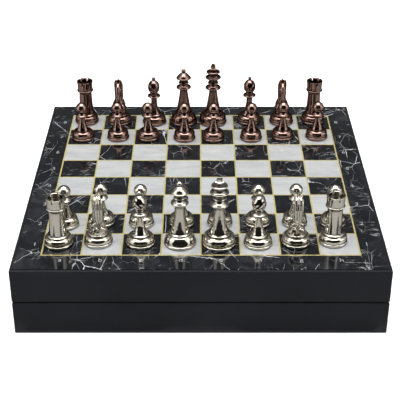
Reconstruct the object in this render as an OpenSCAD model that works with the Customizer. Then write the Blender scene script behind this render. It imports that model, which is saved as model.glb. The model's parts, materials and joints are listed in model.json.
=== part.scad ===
// Metal chess set on a folding storage box whose lid is the board.
// Millimetres, +Z up, origin at the centre of the box's underside, silver side towards -Y.

/* [Box] */
// Outer width and depth of the square box
box_w = 360; // [340:1:400]
// Height of the lower half
base_h = 36; // [36:0.5:44]
// Height of the upper half without the printed sheet
lid_h = 35.8; // [35.8:0.2:44]
// Gap between the closed halves
split_gap = 0.3; // [0.2:0.1:0.6]
// Thickness of the walls
wall_t = 12; // [11:0.5:14]
// Thickness of the bottom and top panels
panel_t = 6; // [4:0.5:8]
// Chamfer on the front and side edges along the split
split_chamfer = 1.4; // [0.8:0.1:2.5]
// Chamfer that eases every other outer edge
edge_ease = 0.8; // [0.4:0.1:1.5]

/* [Board] */
// Side of one square
square = 38.2; // [36:0.1:42]
// Thickness of the printed sheet
sheet_t = 0.6; // [0.4:0.1:1]
// How far the sheet stays in from the box edge
sheet_inset = 3; // [1:0.5:5]

/* [Hinges] */
// Distance of each hinge from the middle of the back
hinge_x = 100; // [60:5:140]
// How far the pin's axis lies in from the back face
hinge_inset = 3; // [2.8:0.1:3.5]
// Outer radius of the knuckles
knuckle_r = 2.3; // [2:0.1:2.5]
// Radius of the pin
pin_r = 1.2; // [0.9:0.1:1.4]
// Radial running clearance on the pin
pin_gap = 0.05; // [0.02:0.01:0.1]
// Length of one of the five knuckles
knuckle_l = 8; // [6:0.5:12]
// Thickness of the leaves
leaf_t = 1; // [0.8:0.1:1.5]
// Angle of the bevels behind the pin, half the lid's opening angle
bevel_angle = 50; // [45:1:55]

/* [Storage] */
// Thickness of the foam sheet under the pockets
foam_floor_t = 3; // [2:0.5:5]
// How far the foam's top lies under the rim of the base
foam_drop = 2; // [1:0.5:4]
// Thickness of the foam pad under the lid
lid_pad_t = 20; // [14:1:21]
// Width of a pocket for a king, queen, bishop, knight or rook
officer_pocket_w = 34; // [33.5:0.5:36]
// Length of the same pocket
officer_pocket_l = 78; // [77:0.5:80]
// Width of a trough for four pawns
pawn_trough_w = 104; // [100:1:120]
// Length of the same trough
pawn_trough_l = 46; // [45:0.5:50]

/* [Hidden] */
$fn = 72;
FILES = ["a", "b", "c", "d", "e", "f", "g", "h"];
RANK = ["rook", "knight", "bishop", "queen", "king", "bishop", "knight", "rook"];

inner_w = box_w - 2 * wall_t;
lid_z = base_h + split_gap;
lid_top = lid_z + lid_h;
board_z = lid_top + sheet_t;
split_z = base_h + split_gap / 2;
half_w = box_w / 2;

// Hinge pin's axis, and the set-back of the bevels from it
hinge_y = half_w - hinge_inset;
bevel_back = 0.25;
knuckle_gap = 0.15;
knuckle_room = 0.4;
leaf_front = half_w - wall_t + 1.5;
leaf_edge = hinge_y - knuckle_r - knuckle_room;
hinge_l = 5 * knuckle_l;
pin_head_r = 1.9;
pin_head_t = 0.7;
hinge_centres = [-hinge_x, hinge_x];

// Wood screws in the leaves
screw_r = 0.9;
screw_head_r = 1.7;
screw_head_t = 0.8;
screw_l = 9;
screw_hole_gap = 0.05;
screw_sink = 0.1;
screw_y = (leaf_front + leaf_edge) / 2;
screw_xs = [-14, 0, 14];

// Foam
foam_z = panel_t + foam_floor_t;
foam_top = base_h - foam_drop;
rail_count = 5;
rail_w = (inner_w - 2 * officer_pocket_l - 2 * pawn_trough_l) / rail_count;

// How far each piece was set down off the centre of its square, file a to h
SILVER_RANK_OFFSET =
    [[-4.4, 1.5], [-4.2, 4.5], [-1.1, 2.4], [-1, 3], [-1.4, 1.5], [-1.7, 1.5], [-2.8, 3.8], [-4.8, 5.5]];
SILVER_PAWN_OFFSET =
    [[-0.9, -2], [-3.2, 2], [-2.1, 0.3], [0, 0.5], [0, 0.5], [-0.5, 0.8], [-1.4, 1.3], [-1.3, 0]];
BRONZE_RANK_OFFSET =
    [[-2, 3.5], [-1.2, 2], [2.3, 1.8], [-0.8, 2], [-4.5, 2], [0.2, 3.5], [0.6, 2.2], [-0.1, 4]];
BRONZE_PAWN_OFFSET =
    [[-2.2, -2.5], [0, -1.5], [-3.2, -2], [0.4, -3], [-4.3, -3.5], [0.9, -3], [-0.8, 0], [0.5, 0.5]];

// How far a piece is turned on its square: the bronze knights face the silver side
PIECE_TURN = [
    ["silver_knight_b", 15], ["bronze_knight_b", 180], ["bronze_knight_g", 180],
    ["bronze_bishop_c", -35], ["bronze_bishop_f", 35]
];
function piece_turn(name) = let (found = [for (t = PIECE_TURN) if (t[0] == name) t[1]])
    len(found) > 0 ? found[0] : 0;

function piece_name(side, kind, file) = str(side, "_", kind, "_", FILES[file]);
function rank_names(side) = [for (i = [0:7]) piece_name(side, RANK[i], i)];
function pawn_names(side) = [for (i = [0:7]) piece_name(side, "pawn", i)];

BOX_NODES = [
    "base_front_wall", "base_back_wall", "base_left_wall", "base_right_wall", "base_panel",
    "lid_front_wall", "lid_back_wall", "lid_left_wall", "lid_right_wall", "lid_panel",
    "board_print", "foam_sheet", "foam_rails", "foam_dividers", "lid_foam_pad",
    "hinge_left_base_leaf", "hinge_left_lid_leaf", "hinge_left_pin",
    "hinge_right_base_leaf", "hinge_right_lid_leaf", "hinge_right_pin",
    "base_hinge_screws", "lid_hinge_screws"
];

// ---- Box halves ----

// Upright slice of a half: width w, height h, chamfers c_low and c_high on the outer edges
module eased_profile(w, h, c_low, c_high) {
    polygon([
        [-w / 2 + c_low, 0], [w / 2 - c_low, 0], [w / 2, c_low], [w / 2, h - c_high],
        [w / 2 - c_high, h], [-w / 2 + c_high, h], [-w / 2, h - c_high], [-w / 2, c_low]
    ]);
}

// Solid block of a half, its long edges eased, standing on z = 0
module eased_block(h, c_low, c_high) {
    intersection() {
        rotate([90, 0, 0])
            translate([0, 0, -half_w])
                linear_extrude(box_w)
                    eased_profile(box_w, h, c_low, c_high);
        rotate([90, 0, 90])
            translate([0, 0, -half_w])
                linear_extrude(box_w)
                    eased_profile(box_w, h, c_low, c_high);
        rotate([0, 0, 45])
            translate([0, 0, h / 2])
                cube([corner_span(), corner_span(), h + 2], center = true);
    }
}

// Width across the eased upright corners, measured along the diagonal
function corner_span() = sqrt(2) * (box_w - edge_ease);

// Plan of the front wall, mitred at both ends; the other walls are turned copies
module mitred_plan(h) {
    linear_extrude(h)
        polygon([
            [-half_w, -half_w], [half_w, -half_w],
            [half_w - wall_t, -half_w + wall_t], [-half_w + wall_t, -half_w + wall_t]
        ]);
}

// Wedges that the rear bevels take out, above and below the pin's axis
module rear_bevels() {
    reach = 3 * hinge_inset;
    translate([-half_w - 1, hinge_y, split_z])
        rotate([90, 0, 90])
            linear_extrude(box_w + 2)
                polygon([
                    [-bevel_back / sin(bevel_angle), 0],
                    [reach, -(reach + bevel_back / sin(bevel_angle)) * tan(bevel_angle)],
                    [reach, (reach + bevel_back / sin(bevel_angle)) * tan(bevel_angle)]
                ]);
}

module base_wall(turn) {
    color("#2b2d31")
        difference() {
            intersection() {
                eased_block(base_h, edge_ease, split_chamfer);
                rotate([0, 0, turn])
                    mitred_plan(base_h);
            }
            rear_bevels();
        }
}

module lid_wall(turn) {
    color("#2b2d31")
        difference() {
            translate([0, 0, lid_z])
                intersection() {
                    eased_block(lid_h, split_chamfer, edge_ease);
                    rotate([0, 0, turn])
                        mitred_plan(lid_h);
                }
            rear_bevels();
        }
}

module base_back_wall() {
    difference() {
        base_wall(180);
        hinge_seats(-1);
        screw_holes(-1);
    }
}

module lid_back_wall() {
    difference() {
        lid_wall(180);
        hinge_seats(1);
        screw_holes(1);
    }
}

module base_panel() {
    color("#2b2d31")
        translate([-inner_w / 2, -inner_w / 2, 0])
            cube([inner_w, inner_w, panel_t]);
}

module lid_panel() {
    color("#2b2d31")
        translate([-inner_w / 2, -inner_w / 2, lid_top - panel_t])
            cube([inner_w, inner_w, panel_t]);
}

module board_print() {
    w = box_w - 2 * sheet_inset;
    color("#6f7076")
        translate([-w / 2, -w / 2, lid_top])
            cube([w, w, sheet_t]);
}

// ---- Foam ----

module foam_sheet() {
    color("#1c1c1e")
        translate([-inner_w / 2, -inner_w / 2, panel_t])
            cube([inner_w, inner_w, foam_floor_t]);
}

// Front edges of the five rails, from the front wall to the back wall
function rail_y(i) = -inner_w / 2 + i * rail_w
    + (i > 0 ? officer_pocket_l : 0) + max(min(i - 1, 2), 0) * pawn_trough_l
    + (i > 3 ? officer_pocket_l : 0);

module foam_rails() {
    color("#242427")
        for (i = [0:rail_count - 1])
            translate([-inner_w / 2, rail_y(i), foam_z])
                cube([inner_w, rail_w, foam_top - foam_z]);
}

// A row of dividers behind rail i, with count pockets of width w between them
module divider_row(i, count, w, length) {
    gap = (inner_w - count * w) / (count + 1);
    for (k = [0:count])
        translate([-inner_w / 2 + k * (gap + w), rail_y(i) + rail_w, foam_z])
            cube([gap, length, foam_top - foam_z]);
}

module foam_dividers() {
    color("#242427") {
        divider_row(0, 8, officer_pocket_w, officer_pocket_l);
        divider_row(1, 2, pawn_trough_w, pawn_trough_l);
        divider_row(2, 2, pawn_trough_w, pawn_trough_l);
        divider_row(3, 8, officer_pocket_w, officer_pocket_l);
    }
}

module lid_foam_pad() {
    color("#1c1c1e")
        translate([-inner_w / 2, -inner_w / 2, lid_top - panel_t - lid_pad_t])
            cube([inner_w, inner_w, lid_pad_t]);
}

// ---- Hinges: side -1 is the base's half, side 1 the lid's ----

function leaf_z(side) = side < 0 ? base_h - leaf_t : lid_z;

// Seats for the leaves and room for the knuckles, cut from a back wall
module hinge_seats(side) {
    for (x = hinge_centres) {
        translate([x - hinge_l / 2, leaf_front, leaf_z(side)])
            cube([hinge_l, wall_t, leaf_t]);
        translate([x - hinge_l / 2 - 1.2, hinge_y, split_z])
            rotate([0, 90, 0])
                cylinder(r = knuckle_r + knuckle_room, h = hinge_l + 2.4);
    }
}

module screw_holes(side) {
    for (x = hinge_centres, dx = screw_xs)
        translate([x + dx, screw_y, side < 0 ? base_h - screw_l : lid_z])
            cylinder(r = screw_r + screw_hole_gap, h = screw_l);
}

// One leaf with its share of the five knuckles: even ones on the base, odd ones on the lid
module hinge_leaf(x, side) {
    own = side < 0 ? [0, 2, 4] : [1, 3];
    others = side < 0 ? [1, 3] : [0, 2, 4];
    color("#b9934a")
        difference() {
            union() {
                translate([x - hinge_l / 2, leaf_front, leaf_z(side)])
                    cube([hinge_l, hinge_y - leaf_front, leaf_t]);
                for (k = own)
                    translate([knuckle_x(x, k), hinge_y, split_z])
                        rotate([0, 90, 0])
                            cylinder(r = knuckle_r, h = knuckle_l - 2 * knuckle_gap);
            }
            for (k = others)
                translate([knuckle_x(x, k) - 2 * knuckle_gap, leaf_edge, split_z - knuckle_r - 1])
                    cube([knuckle_l + 2 * knuckle_gap, 2 * knuckle_r + 2, 2 * knuckle_r + 2]);
            translate([x - hinge_l / 2 - 1, hinge_y, split_z])
                rotate([0, 90, 0])
                    cylinder(r = pin_r + pin_gap, h = hinge_l + 2);
            for (dx = screw_xs)
                translate([x + dx, screw_y, leaf_z(side)])
                    screw_seat(side);
        }
}

function knuckle_x(x, k) = x - hinge_l / 2 + k * knuckle_l + knuckle_gap;

// Countersunk hole through a leaf, its wide end towards the split
module screw_seat(side) {
    translate([0, 0, -1])
        cylinder(r = screw_r + screw_hole_gap, h = leaf_t + 2);
    translate([0, 0, side < 0 ? leaf_t : 0])
        mirror([0, 0, side < 0 ? 1 : 0]) {
            translate([0, 0, -screw_sink])
                cylinder(r = screw_head_r + screw_hole_gap, h = 2 * screw_sink);
            translate([0, 0, screw_sink])
                cylinder(r1 = screw_head_r + screw_hole_gap, r2 = screw_r + screw_hole_gap, h = screw_head_t);
        }
}

module hinge_pin(x) {
    color("#c9a55a")
        translate([x, hinge_y, split_z])
            rotate([0, 90, 0]) {
                cylinder(r = pin_r, h = hinge_l, center = true);
                for (end = [-1, 1])
                    translate([0, 0, end * (hinge_l + pin_head_t) / 2])
                        cylinder(r = pin_head_r, h = pin_head_t, center = true);
            }
}

// One countersunk wood screw, head up, its tip at z = 0
module wood_screw() {
    tip = 2;
    cylinder(r1 = 0.2, r2 = screw_r, h = tip);
    difference() {
        union() {
            translate([0, 0, tip])
                cylinder(r = screw_r, h = screw_l - tip - screw_sink);
            translate([0, 0, screw_l - screw_head_t - screw_sink])
                cylinder(r1 = screw_r, r2 = screw_head_r, h = screw_head_t);
        }
        translate([0, 0, screw_l])
            cube([4 * screw_r, 0.5, 0.9], center = true);
    }
}

module base_hinge_screws() {
    color("#d0b26a")
        for (x = hinge_centres, dx = screw_xs)
            translate([x + dx, screw_y, base_h - screw_l])
                wood_screw();
}

module lid_hinge_screws() {
    color("#d0b26a")
        for (x = hinge_centres, dx = screw_xs)
            translate([x + dx, screw_y, lid_z + screw_l])
                mirror([0, 0, 1])
                    wood_screw();
}

// ---- Chess pieces: radius and height profiles, turned about Z, standing on z = 0 ----

// Points of a curve from a to c, pulled towards b
function bend(a, b, c, n = 6) = [
    for (i = [0:n]) let (t = i / n) (1 - t) * (1 - t) * a + 2 * t * (1 - t) * b + t * t * c
];

// Rounded rim: bulges out to radius r between the heights z0 and z1, which both have radius r - depth
function rim(r, z0, z1, depth = 0.8) = bend([r - depth, z0], [r + depth, (z0 + z1) / 2], [r - depth, z1], 6);

// Foot ring, groove, dome and neck ring: r is the foot's radius, and slope turns the dome into a bell
function foot(r, ring_r, z_dome, z_ring, slope = 0) = concat(
    [[r - 1.4, 0]],
    rim(r, 0.2, 2.6, 0.8),
    [[r - 1.5, 3]],
    bend([r - 0.9, 3.4], [r - 0.1 - slope, z_dome - 0.6 - slope], [ring_r + 0.5, z_dome]),
    [[ring_r - 0.4, z_dome + 0.3]],
    rim(ring_r, z_dome + 0.6, z_ring, 0.6)
);

module turned(points) {
    last = points[len(points) - 1];
    rotate_extrude()
        polygon(concat([[0, 0]], points, [[0, last[1]]]));
}

module king() {
    turned(concat(
        foot(16.3, 11.2, 11, 13.2),
        bend([9.2, 13.8], [6.6, 25], [4.6, 40]),
        bend([4.6, 40.3], [5.2, 43.2], [8.6, 43.7]),
        rim(9.1, 43.8, 45.4, 0.5),
        bend([7.6, 46], [5, 47.2], [4.5, 49.6]),
        rim(6.2, 49.9, 51.7, 0.9),
        bend([4.9, 52], [5.2, 55.6], [8.4, 56.8]),
        rim(9.1, 56.9, 58.3, 0.5),
        bend([7.9, 58.6], [5.7, 59.6], [5.9, 61.6]),
        bend([5.9, 61.6], [6.2, 63], [7.3, 63.3]),
        rim(7.9, 63.4, 65.4, 0.7),
        bend([6.8, 65.6], [5.4, 64.9], [4.2, 64.8])
    ));
    king_cross();
}

module king_cross() {
    translate([0, 0, 64.6]) {
        translate([-1.9, -1.7, 0])
            cube([3.8, 3.4, 9.6]);
        translate([-2.8, -1.7, 3.9])
            cube([5.6, 3.4, 3.8]);
    }
}

module queen() {
    turned(concat(
        foot(15.8, 10.8, 10.8, 12.8, 1.6),
        bend([9, 13.4], [6.5, 25], [4.6, 40.4]),
        bend([4.6, 40.7], [5.2, 43.8], [8.2, 44.3]),
        rim(8.6, 44.4, 46, 0.5),
        bend([7.1, 46.6], [4.8, 47.8], [4.4, 49.8]),
        rim(5.9, 50.1, 51.9, 0.9),
        bend([4.7, 52.2], [5.2, 55.2], [8, 56.1]),
        rim(8.6, 56.2, 57.6, 0.5),
        bend([8, 57.9], [5.6, 61.6], [1.9, 63.6])
    ));
    translate([0, 0, 65.6])
        sphere(r = 2.7);
}

// Lean 1 slants the mitre's slots down towards +X, -1 towards -X
module bishop(lean) {
    slot_w = 1.8;
    difference() {
        union() {
            turned(concat(
                foot(14.1, 9, 9.4, 11.2),
                bend([7.4, 11.8], [3.3, 18.5], [3.4, 30.4]),
                bend([3.4, 30.8], [4, 32.8], [7, 33.3]),
                rim(7.5, 33.4, 34.8, 0.5),
                bend([6.4, 35.2], [4.2, 35.9], [4.1, 37.2]),
                rim(4.6, 37.3, 38.5, 0.4),
                bend([4, 38.7], [6.9, 40.4], [6.9, 45]),
                bend([6.9, 45], [6.9, 51.2], [1.6, 53.8])
            ));
            translate([0, 0, 55.9])
                sphere(r = 2.1);
        }
        // Pair of slanting slots across the front of the mitre
        for (shift = [-1.8, 1.8])
            translate([0, -5.6, 48])
                rotate([0, 45 * lean, 0])
                    translate([0, 0, shift])
                        cube([10, 6, slot_w], center = true);
    }
}

// Turn sets the bearing of the first pair of notches
module rook(turn) {
    difference() {
        turned(concat(
            foot(14, 10.6, 9, 11),
            bend([9, 11.6], [7.5, 22], [7.3, 37]),
            bend([7.3, 37.4], [7.6, 39.4], [8.9, 39.9]),
            rim(9.5, 40, 41.6, 0.6),
            bend([8.7, 42], [8.5, 46], [9.3, 52.4])
        ));
        translate([0, 0, 46.6])
            cylinder(r = 6.6, h = 10);
        // Narrow notches between the battlements
        for (step = [0:60:120])
            rotate([0, 0, turn + step])
                translate([0, 0, 51.3])
                    cube([1.6, 24, 5], center = true);
    }
}

module pawn() {
    turned(concat(
        [[11.5, 0]],
        rim(12.8, 0.2, 2.7, 0.8),
        [[11.4, 3.1]],
        bend([11.9, 3.5], [12.7, 9.9], [7.9, 10.4]),
        bend([6.9, 10.8], [3.9, 17], [2.8, 26.2]),
        bend([2.8, 26.3], [3.2, 27.9], [6.1, 28.3]),
        rim(6.9, 28.4, 29.6, 0.5),
        bend([6.2, 29.7], [4.9, 30.7], [3.9, 32.4])
    ));
    translate([0, 0, 38])
        sphere(r = 6.6);
}

// Side view of the horse, nose towards +Y, standing in the collar
module horse_side() {
    polygon(concat(
        bend([-9.4, 11], [-12.2, 28], [-10, 42]),
        [[-8.4, 48], [-5.4, 51.2], [-2.6, 54.2], [0.8, 53.8], [1.4, 51]],
        bend([2.8, 49.8], [6.4, 47], [9.8, 38.6]),
        bend([9.8, 38.6], [12.6, 34.4], [10.4, 31.6]),
        [[7.4, 31.4]],
        bend([5, 33.4], [1.6, 34.4], [2.6, 29]),
        bend([2.6, 29], [4.8, 22], [9, 17]),
        [[8.8, 11]]
    ));
}

// Front view of the horse, wider at the shoulders than at the ears
module horse_front() {
    polygon(concat(
        [[-8, 10]],
        bend([-8.4, 16], [-8.4, 22], [-6, 28]),
        bend([-6, 28], [-4.8, 32], [-5.2, 40]),
        [[-5.2, 47], [-4.2, 50], [-4, 55], [4, 55], [4.2, 50], [5.2, 47]],
        bend([5.2, 40], [4.8, 32], [6, 28]),
        bend([6, 28], [8.4, 22], [8.4, 16]),
        [[8, 10]]
    ));
}

module knight() {
    turned(concat(foot(14.2, 9.8, 9.4, 11.6), [[8.9, 11.9]]));
    intersection() {
        rotate([90, 0, 90])
            translate([0, 0, -12])
                linear_extrude(24)
                    horse_side();
        rotate([90, 0, 0])
            translate([0, 0, -20])
                linear_extrude(40)
                    horse_front();
        // The gap between the ears
        difference() {
            translate([-12, -20, 0])
                cube([24, 40, 60]);
            translate([-0.7, -2.4, 51.4])
                cube([1.4, 8, 10]);
        }
    }
}

module piece_shape(kind, file) {
    if (kind == "king") king();
    if (kind == "queen") queen();
    if (kind == "bishop") bishop(file < 4 ? 1 : -1);
    if (kind == "knight") knight();
    if (kind == "rook") rook(file < 4 ? -15 : 15);
    if (kind == "pawn") pawn();
}

// Sets a piece down on its square; row counts squares from the silver side
module placed_piece(side, kind, file, row, offset) {
    color(side == "silver" ? "#d9d3c4" : "#7a5a4c")
        translate([(file - 3.5) * square + offset[0], (row - 3.5) * square + offset[1], board_z])
            rotate([0, 0, piece_turn(piece_name(side, kind, file))])
                piece_shape(kind, file);
}

// ---- The nodes ----

base_wall(0);  // base_front_wall
base_back_wall();
base_wall(-90);  // base_left_wall
base_wall(90);  // base_right_wall
base_panel();
lid_wall(0);  // lid_front_wall
lid_back_wall();
lid_wall(-90);  // lid_left_wall
lid_wall(90);  // lid_right_wall
lid_panel();
board_print();
foam_sheet();
foam_rails();
foam_dividers();
lid_foam_pad();
hinge_leaf(-hinge_x, -1);  // hinge_left_base_leaf
hinge_leaf(-hinge_x, 1);  // hinge_left_lid_leaf
hinge_pin(-hinge_x);  // hinge_left_pin
hinge_leaf(hinge_x, -1);  // hinge_right_base_leaf
hinge_leaf(hinge_x, 1);  // hinge_right_lid_leaf
hinge_pin(hinge_x);  // hinge_right_pin
base_hinge_screws();
lid_hinge_screws();
for (i = [0:7]) {
    placed_piece("silver", RANK[i], i, 0, SILVER_RANK_OFFSET[i]);
    placed_piece("silver", "pawn", i, 1, SILVER_PAWN_OFFSET[i]);
    placed_piece("bronze", "pawn", i, 6, BRONZE_PAWN_OFFSET[i]);
    placed_piece("bronze", RANK[i], i, 7, BRONZE_RANK_OFFSET[i]);
}
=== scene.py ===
"""Looks of a metal chess set standing on its folding storage box."""
import json
import math
import random

import bmesh
import bpy
import numpy as np
from mathutils import Matrix, Vector


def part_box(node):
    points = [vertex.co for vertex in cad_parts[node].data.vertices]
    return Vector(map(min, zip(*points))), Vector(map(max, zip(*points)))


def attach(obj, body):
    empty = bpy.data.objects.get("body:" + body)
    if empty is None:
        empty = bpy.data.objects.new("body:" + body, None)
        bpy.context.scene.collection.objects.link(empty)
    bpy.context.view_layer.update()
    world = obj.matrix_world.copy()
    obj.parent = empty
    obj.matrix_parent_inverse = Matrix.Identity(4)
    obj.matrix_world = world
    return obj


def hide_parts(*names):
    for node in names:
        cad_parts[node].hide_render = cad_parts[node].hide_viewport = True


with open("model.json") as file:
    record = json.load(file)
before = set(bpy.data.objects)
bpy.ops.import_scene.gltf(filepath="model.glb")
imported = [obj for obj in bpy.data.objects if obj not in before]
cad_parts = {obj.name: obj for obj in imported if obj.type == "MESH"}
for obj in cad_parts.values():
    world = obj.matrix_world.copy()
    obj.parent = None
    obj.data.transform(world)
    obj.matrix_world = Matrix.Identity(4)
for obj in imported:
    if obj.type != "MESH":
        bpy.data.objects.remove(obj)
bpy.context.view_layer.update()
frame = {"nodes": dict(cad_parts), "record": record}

MM = 0.001
FILES = "abcdefgh"
RANK = ["rook", "knight", "bishop", "queen", "king", "bishop", "knight", "rook"]

# ---- places, from the frame

SHEET_LOW, SHEET_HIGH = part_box("board_print")
BOARD_Z = SHEET_HIGH.z
BOX_W = -2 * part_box("base_front_wall")[0].y
SQUARE = 38.2 * MM
FIELD = 4 * SQUARE          # half the width of the 64 squares
FOOT_BAND = 3 * MM          # height of the stretch of a foot that gives its middle


def axis_of(node):
    """A piece's upright axis: the middle of its foot."""
    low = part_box(node)[0]
    verts = [v.co for v in frame["nodes"][node].data.vertices if v.co.z < low.z + FOOT_BAND]
    xs, ys = [v.x for v in verts], [v.y for v in verts]
    return Vector(((min(xs) + max(xs)) / 2, (min(ys) + max(ys)) / 2, low.z))


# ---- node helpers

# Places of the Mix node's sockets by the kind of value: first input, second input, result
MIX_SOCKETS = {"RGBA": (6, 7, 2), "FLOAT": (2, 3, 0)}


class Nodes:
    """Short ways to build the node tree of a material or a world."""

    def __init__(self, owner):
        owner.use_nodes = True
        self.owner = owner
        self.tree = owner.node_tree

    def node(self, kind, **props):
        made = self.tree.nodes.new(kind)
        for key, value in props.items():
            setattr(made, key, value)
        return made

    def put(self, socket, value):
        """Sets a socket to a value or links an output to it."""
        if isinstance(value, bpy.types.NodeSocket):
            self.tree.links.new(value, socket)
        elif hasattr(value, "__len__") and len(value) == 3 and socket.type == "RGBA":
            socket.default_value = (*value, 1)
        else:
            socket.default_value = value

    def math(self, op, a, b=0.0, c=0.0):
        made = self.node("ShaderNodeMath", operation=op)
        for socket, value in zip(made.inputs, (a, b, c)):
            self.put(socket, value)
        return made.outputs[0]

    def coords(self, kind="Object"):
        return self.node("ShaderNodeTexCoord").outputs[kind]

    def mapping(self, vector, scale=(1, 1, 1), location=(0, 0, 0), rotation=(0, 0, 0)):
        made = self.node("ShaderNodeMapping")
        self.put(made.inputs["Vector"], vector)
        made.inputs["Scale"].default_value = scale
        made.inputs["Location"].default_value = location
        made.inputs["Rotation"].default_value = rotation
        return made.outputs[0]

    def noise(self, vector, scale, detail=4, rough=0.5, distortion=0.0, output="Fac"):
        made = self.node("ShaderNodeTexNoise")
        self.put(made.inputs["Vector"], vector)
        made.inputs["Scale"].default_value = scale
        made.inputs["Detail"].default_value = detail
        made.inputs["Roughness"].default_value = rough
        made.inputs["Distortion"].default_value = distortion
        return made.outputs[output]

    def voronoi(self, vector, scale, feature="F1"):
        made = self.node("ShaderNodeTexVoronoi", feature=feature)
        self.put(made.inputs["Vector"], vector)
        made.inputs["Scale"].default_value = scale
        return made.outputs["Distance"]

    def ramp(self, factor, stops):
        """Colour ramp through stops of a place and a colour."""
        made = self.node("ShaderNodeValToRGB")
        self.put(made.inputs["Fac"], factor)
        ramp = made.color_ramp
        while len(ramp.elements) < len(stops):
            ramp.elements.new(0.5)
        for element, (place, colour) in zip(ramp.elements, stops):
            element.position = place
            element.color = (*colour, 1)
        return made.outputs["Color"]

    def remap(self, value, low, high, new_low=0.0, new_high=1.0):
        """Smooth step from new_low at low to new_high at high."""
        made = self.node("ShaderNodeMapRange", interpolation_type="SMOOTHSTEP")
        for name, item in (("Value", value), ("From Min", low), ("From Max", high),
                           ("To Min", new_low), ("To Max", new_high)):
            self.put(made.inputs[name], item)
        return made.outputs["Result"]

    def mix(self, factor, a, b, kind="RGBA"):
        """A colour mixed from a to b, or a number where the kind is FLOAT."""
        made = self.node("ShaderNodeMix", data_type=kind)
        first, second, result = MIX_SOCKETS[kind]
        self.put(made.inputs[0], factor)
        self.put(made.inputs[first], a)
        self.put(made.inputs[second], b)
        return made.outputs[result]

    def warp(self, vector, scale, amount, detail=3):
        """The vector pushed about by coloured noise."""
        noise = self.noise(vector, scale, detail, output="Color")
        made = self.node("ShaderNodeVectorMath", operation="MULTIPLY_ADD")
        self.put(made.inputs[0], noise)
        made.inputs[1].default_value = (amount,) * 3
        self.put(made.inputs[2], vector)
        return made.outputs[0]

    def bump(self, height, distance, strength=1.0, normal=None):
        made = self.node("ShaderNodeBump")
        made.inputs["Strength"].default_value = strength
        made.inputs["Distance"].default_value = distance
        self.put(made.inputs["Height"], height)
        if normal is not None:
            self.put(made.inputs["Normal"], normal)
        return made.outputs[0]

    def finish(self, **sockets):
        """Sets the surface shader's sockets and hands the material back."""
        shader = self.tree.nodes["Principled BSDF"]
        for name, value in sockets.items():
            self.put(shader.inputs[name.replace("_", " ")], value)
        return self.owner


def paint(name):
    """Nodes of a new material."""
    return Nodes(bpy.data.materials.new(name))


# ---- materials

def lacquer():
    """Satin charcoal lacquer on fibreboard: faint orange peel, a little dust and rubbed patches."""
    n = paint("charcoal_lacquer")
    p = n.coords()
    cloud = n.noise(p, scale=9, detail=5, rough=0.55)
    colour = n.ramp(cloud, [(0.3, (0.0090, 0.0098, 0.0132)), (0.7, (0.0122, 0.0132, 0.0172))])
    dust = n.remap(n.voronoi(p, scale=900), 0.05, 0.02, 0, 0.12)
    colour = n.mix(dust, colour, (0.09, 0.09, 0.1))
    rubbed = n.remap(n.noise(p, scale=38, detail=6, rough=0.6), 0.25, 0.8, 0.40, 0.56)
    peel = n.bump(n.noise(p, scale=420, detail=2), distance=0.08 * MM, strength=0.55)
    return n.finish(Base_Color=colour, Roughness=rubbed, Specular_IOR_Level=0.12, Normal=peel)


def crack_layer(n, p, scale, width, wander, mask_scale, mask, seed):
    """Straight forked lines along the borders of cells, broken off and thinned by a mask."""
    moved = n.mapping(p, location=(seed, seed * 0.6, seed * 2.1), rotation=(0, 0, seed), scale=(1, 0.6, 1))
    bent = n.warp(n.warp(moved, scale * 0.9, wander), scale=240, amount=2.2 * MM, detail=2)
    edge = n.voronoi(bent, scale, "DISTANCE_TO_EDGE")
    cover = n.remap(n.noise(moved, mask_scale, detail=3, rough=0.6), *mask)
    widest = width * scale
    slim = n.math("MULTIPLY_ADD", cover, widest * 0.8, widest * 0.2)
    line = n.remap(edge, slim, n.math("MULTIPLY", slim, 0.45))
    return n.math("MULTIPLY", line, n.math("POWER", cover, 0.7))


def feather_layer(n, p, angle, mask, seed):
    """Feathery white strokes that run along one direction in a few patches."""
    moved = n.mapping(p, location=(seed, -seed, 0), rotation=(0, 0, angle))
    stroke = n.warp(n.mapping(moved, scale=(1, 7, 1)), scale=40, amount=20 * MM)
    fibre = n.remap(n.noise(stroke, scale=60, detail=6, rough=0.72), 0.53, 0.66)
    patch = n.remap(n.noise(moved, scale=30, detail=3, rough=0.55), *mask)
    return n.math("MULTIPLY", fibre, patch)


def film_bump(n, p):
    """Slight waviness of the glossy film over the print."""
    return n.bump(n.noise(p, scale=190, detail=3), distance=0.03 * MM, strength=0.35)


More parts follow.
